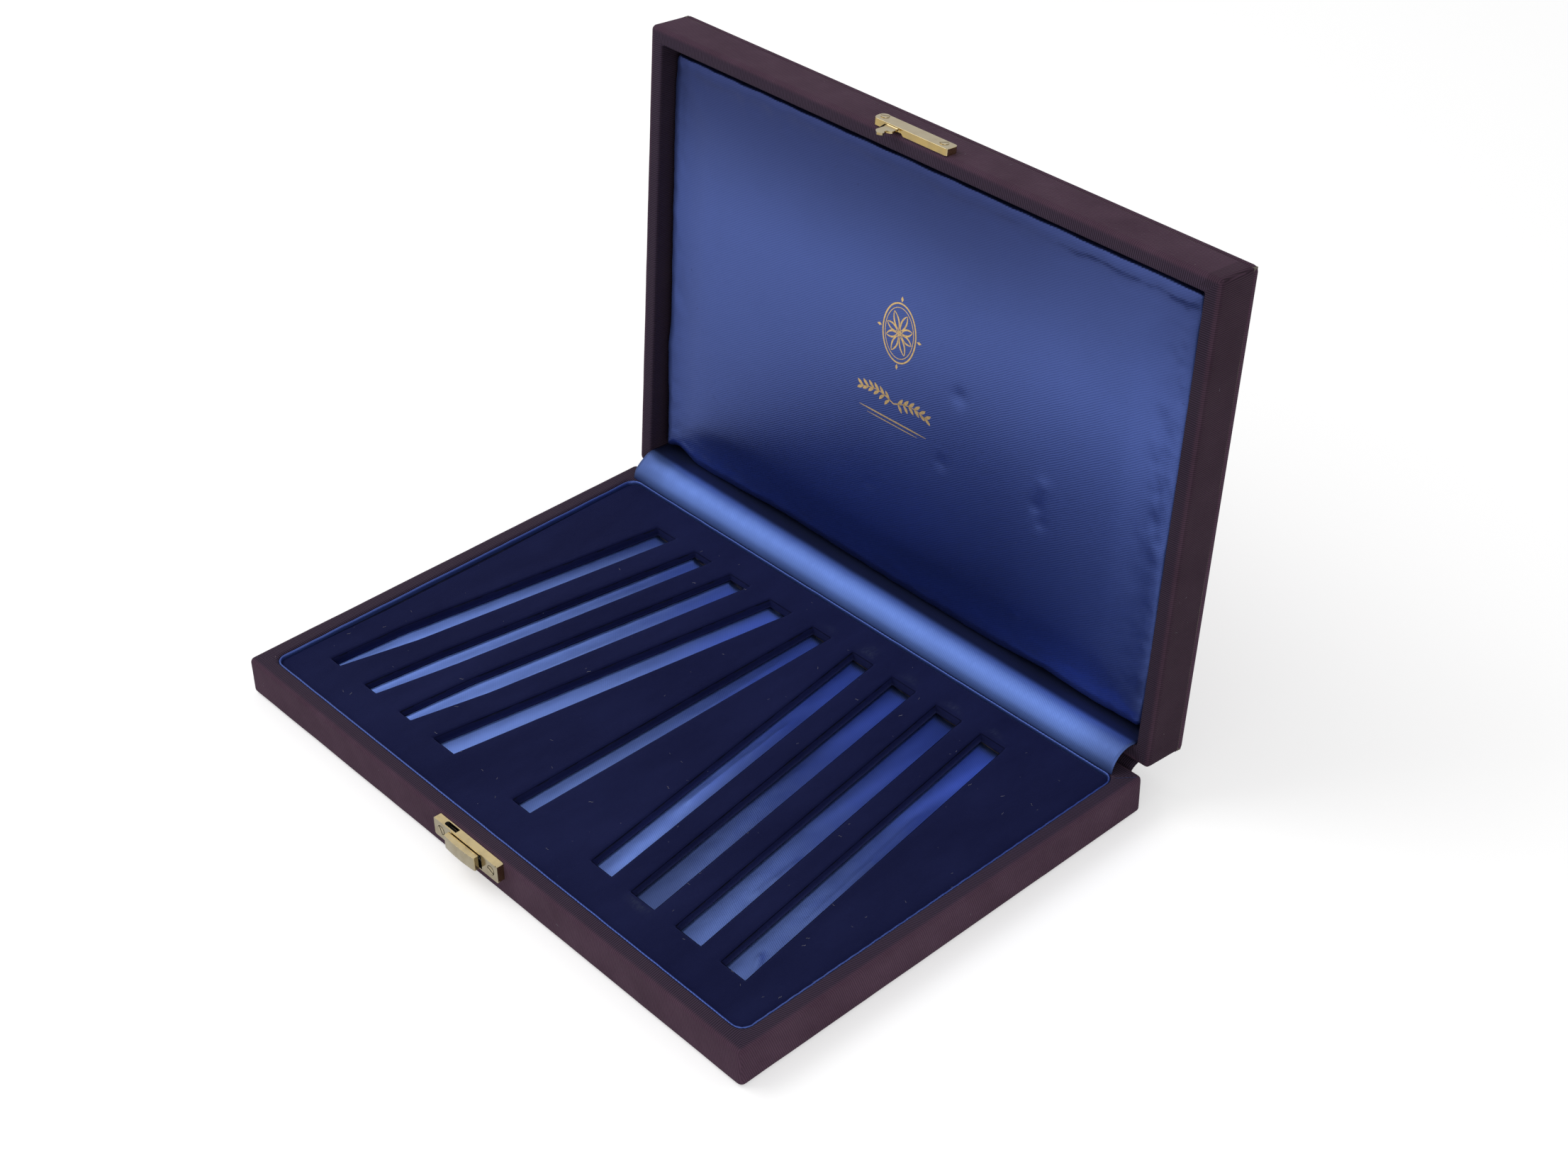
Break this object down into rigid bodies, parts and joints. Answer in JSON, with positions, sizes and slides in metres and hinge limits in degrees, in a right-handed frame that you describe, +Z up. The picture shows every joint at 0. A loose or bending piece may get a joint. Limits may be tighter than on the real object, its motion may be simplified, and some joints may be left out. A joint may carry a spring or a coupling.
{
  "type": "display box",
  "caption": "Flat cloth-covered display box with a hinged padded lid, a slotted velvet tray and a brass spring latch.",
  "frame": {"origin": "middle of the box's underside, where it rests on the table", "axes": "+X to the right along the front, +Y from the latch to the hinge, +Z up"},
  "size_m": [0.32, 0.2703, 0.2414],
  "materials": {
    "cover_cloth": "ribbed cloth",
    "velvet": "velvet",
    "bright_satin": "satin",
    "pad_satin": "satin",
    "timber": "raw",
    "board": "raw card",
    "brass": "aged, lightly polished",
    "steel": "dull"
  },
  "bodies": {
    "base": {"base_sole": "cover_cloth", "base_floor_board": "board", "base_cover_cloth": "cover_cloth", "tray_bed": "board", "tray_velvet_panel": "velvet", "tray_front_rail": "board", "tray_rear_rail": "board", "base_front_wall": "timber", "base_back_wall": "timber", "base_left_wall": "timber", "base_right_wall": "timber", "tray_edging_front": "bright_satin", "tray_edging_back": "bright_satin", "tray_edging_left": "bright_satin", "tray_edging_right": "bright_satin", "tray_spacer_01": "board", "tray_spacer_02": "board", "tray_spacer_03": "board", "tray_spacer_04": "board", "tray_spacer_05": "board", "tray_spacer_06": "board", "tray_spacer_07": "board", "tray_spacer_08": "board", "tray_spacer_09": "board", "tray_spacer_10": "board", "slot_liner_1": "bright_satin", "slot_liner_2": "bright_satin", "slot_liner_3": "bright_satin", "slot_liner_4": "bright_satin", "slot_liner_5": "bright_satin", "slot_liner_6": "bright_satin", "slot_liner_7": "bright_satin", "slot_liner_8": "bright_satin", "slot_liner_9": "bright_satin", "clasp_case": "brass", "clasp_screws": "brass", "clasp_spring": "steel", "hinge_base_leaf_left": "steel", "hinge_base_leaf_right": "steel", "hinge_pin_left": "steel", "hinge_pin_right": "steel", "hinge_base_screws": "steel", "hinge_satin_strip": "bright_satin", "hinge_cloth_strip": "cover_cloth"},
    "lid": {"lid_front_wall": "timber", "lid_back_wall": "timber", "lid_left_wall": "timber", "lid_right_wall": "timber", "lid_cover_cloth": "cover_cloth", "lid_top_board": "board", "lid_board_cloth": "cover_cloth", "lid_pad_board": "board", "lid_pad": "pad_satin", "hook_plate": "brass", "hook_plate_screws": "brass", "hinge_lid_leaf_left": "steel", "hinge_lid_leaf_right": "steel", "hinge_lid_screws": "steel"},
    "latch_slider": {"clasp_slider": "brass"}
  },
  "joints": [
    {"name": "lid_hinge", "type": "hinge", "parent": "base", "child": "lid", "pos_m": [0, 0.11155, 0.0181], "axis": [1, 0, 0], "range_deg": [0, 95.4], "deforming": ["hinge_satin_strip", "hinge_cloth_strip"]},
    {"name": "latch_slide", "type": "slide", "parent": "base", "child": "latch_slider", "axis": [1, 0, 0], "range_m": [0, 0.004], "stiffness_N_per_m": 200, "deforming": ["clasp_spring"]}
  ]
}
